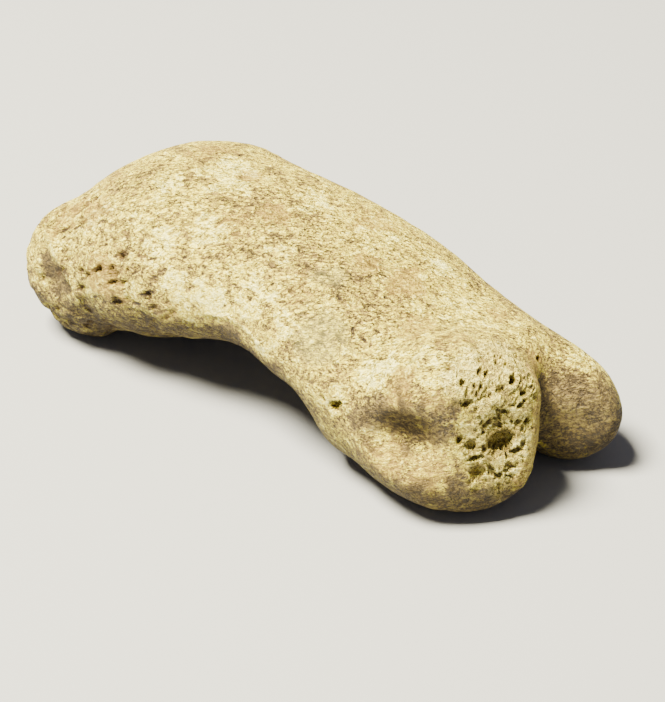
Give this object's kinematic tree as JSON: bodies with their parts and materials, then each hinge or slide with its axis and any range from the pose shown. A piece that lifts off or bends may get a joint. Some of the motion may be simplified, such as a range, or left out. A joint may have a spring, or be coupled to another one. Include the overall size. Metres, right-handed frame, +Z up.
{
  "type": "fossil cave bear toe bone",
  "caption": "First toe bone of a cave bear, a fossil: arched shaft, wide base with a hollow joint face, grooved head with a broken corner of spongy bone.",
  "frame": {"origin": "middle of the bone's box, at the level that it rests on", "axes": "+X along the bone from its base to its head, +Z up towards the back of the bone, which lies on its palmar side"},
  "size_m": [0.058, 0.0262, 0.0187],
  "materials": {
    "fossil_bone": "dry matt fossil bone, cream and tan, with fine fibres, pits and pale worn patches"
  },
  "bodies": {
    "root": {"proximal_phalanx": "fossil_bone"}
  },
  "joints": []
}
